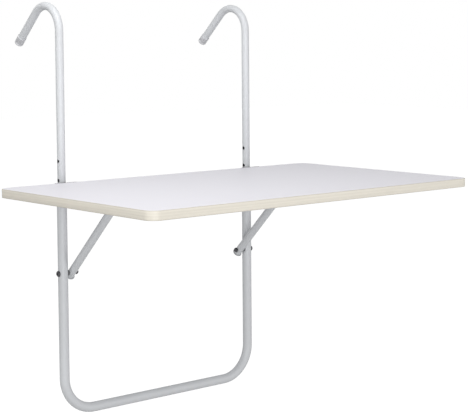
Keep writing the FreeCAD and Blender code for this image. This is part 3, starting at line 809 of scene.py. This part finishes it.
STOP_DEPTH = 0.009
STOP_THICK = 0.003
LIP_DEPTH = 0.003
LIP_START = 0.0081
LIP_THICK = 0.0024
CATCH_GAP = 0.0003
CATCH_EASED = 0.0005
BAR_RADIUS = 0.0065
for side_name in SIDES:
    low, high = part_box(f"stay_catch_{side_name}")
    bar_y = low.y + CATCH_FRONT
    face_z = under - CATCH_BASE
    bar_top = face_z - CATCH_GAP
    lip_y = bar_y - LIP_START
    lip_front = lip_y - LIP_THICK
    lip_end = bar_top - LIP_DEPTH
    stop_y = bar_y + BAR_RADIUS + CATCH_GAP
    stop_back = stop_y + STOP_THICK
    stop_end = bar_top - STOP_DEPTH
    outline = [
        (low.y, under), (low.y, face_z), (lip_front, face_z), (lip_front, lip_end), (lip_y, lip_end),
        (lip_y, face_z), (stop_y, face_z), (stop_y, stop_end), (stop_back, stop_end), (stop_back, face_z),
        (high.y, face_z), (high.y, under),
    ]
    shape = bmesh.new()
    extrude_across(shape, outline, low.x, high.x)
    ease(shape, CATCH_EASED, 3)
    add_piece(
        f"saddle_{side_name}", shape, black_plastic, "tabletop", [f"stay_catch_{side_name}"]
    )


# Floor, light and camera. A white floor far under the hanging table, clear from below, soft lamps low in
# front, low at both sides and above the board's left end, and the photograph's camera.

FLOOR_Z = -1.05
FLOOR_SIZE = 14.0
FLOOR_PAINT = (0.8, 0.8, 0.8, 1)
FLOOR_DULL = (0.34, 0.34, 0.34, 1)
FLOOR_GLOW = 0.7
WHITE = (1, 1, 1, 1)
material, place = new_material("floor")
RAYS = ("Is Camera Ray", "Is Glossy Ray", "Is Transmission Ray")
paths = [place.node("LightPath", {}, {}, name) for name in RAYS]
seen = (paths[0] + paths[1] + paths[2]).between(0.0, 1.0)
paint = place.node("BsdfDiffuse", {}, {"Color": FLOOR_PAINT})
dull = place.node("BsdfDiffuse", {}, {"Color": FLOOR_DULL})
glow = place.node("Emission", {}, {"Color": WHITE, "Strength": FLOOR_GLOW})
both = place.node("AddShader", {}, {0: paint, 1: glow})
floor_top = place.node("MixShader", {}, {0: seen, 1: dull, 2: both})
seen_from_below = paths[0] * place.node("NewGeometry", output="Backfacing")
clear = place.node("BsdfTransparent", {}, {"Color": WHITE})
floor_look = place.node("MixShader", {}, {0: seen_from_below, 1: floor_top, 2: clear})
place.node("OutputMaterial", {}, {"Surface": floor_look})
shape = bmesh.new()
bmesh.ops.create_grid(shape, x_segments=1, y_segments=1, size=FLOOR_SIZE)
bmesh.ops.translate(shape, verts=shape.verts, vec=(0, 0, FLOOR_Z))
mesh = bpy.data.meshes.new("floor")
shape.to_mesh(mesh)
shape.free()
mesh.materials.append(material)
floor = bpy.data.objects.new("floor", mesh)
bpy.context.scene.collection.objects.link(floor)

WORLD_LIGHT = 0.43
world = bpy.data.worlds.new("studio")
bpy.context.scene.world = world
world.use_nodes = True
world.node_tree.nodes.clear()
sky = Shade(world.node_tree)
paths = [sky.node("LightPath", {}, {}, name) for name in RAYS]
seen = (paths[0] + paths[1] + paths[2]).between(0.0, 1.0)
strength = WORLD_LIGHT + (1 - WORLD_LIGHT) * seen
backdrop = sky.node("Background", {}, {"Color": WHITE, "Strength": strength})
sky.node("OutputWorld", {}, {"Surface": backdrop})

TABLE_MIDDLE = Vector((0, -0.2, -0.3))


def add_lamp(name, place, width, power):
    """A square lamp that faces the middle of the table."""
    lamp = bpy.data.lights.new(name, "AREA")
    lamp.size = width
    lamp.energy = power
    holder = bpy.data.objects.new(name, lamp)
    holder.location = place
    holder.rotation_euler = (TABLE_MIDDLE - holder.location).to_track_quat("-Z", "Y").to_euler()
    bpy.context.scene.collection.objects.link(holder)


add_lamp("front", (-1.4, -2.4, -0.45), 1.2, 30)
add_lamp("top", (-0.5, -0.5, 0.65), 0.6, 6.3)
add_lamp("left", (-2.2, -0.2, -0.5), 1.2, 4.5)
add_lamp("right", (0.9, -1.3, -0.5), 0.8, 3.5)

EYE = (-1.35819, -1.85106, -0.0557)
YAW = 0.69928
PITCH = 0.06703
ROLL = 0.0076
FOCAL_PIXELS = 1358.86
SHIFT_PIXELS = 72
IMAGE_WIDTH = 468
SENSOR = 36.0

forward = Vector((math.sin(YAW) * math.cos(PITCH), math.cos(YAW) * math.cos(PITCH), -math.sin(PITCH)))
level = Vector((math.cos(YAW), -math.sin(YAW), 0))
down = forward.cross(level)
right = level * math.cos(ROLL) + down * math.sin(ROLL)
up = right.cross(forward)
camera = bpy.data.objects.new("camera", bpy.data.cameras.new("camera"))
camera.data.sensor_width = SENSOR
camera.data.lens = FOCAL_PIXELS * SENSOR / IMAGE_WIDTH
camera.data.shift_y = -SHIFT_PIXELS / IMAGE_WIDTH
camera.matrix_world = Matrix.Translation(EYE) @ Matrix((right, up, -forward)).transposed().to_4x4()
bpy.context.scene.collection.objects.link(camera)
bpy.context.scene.camera = camera
bpy.context.scene.view_settings.view_transform = "Standard"
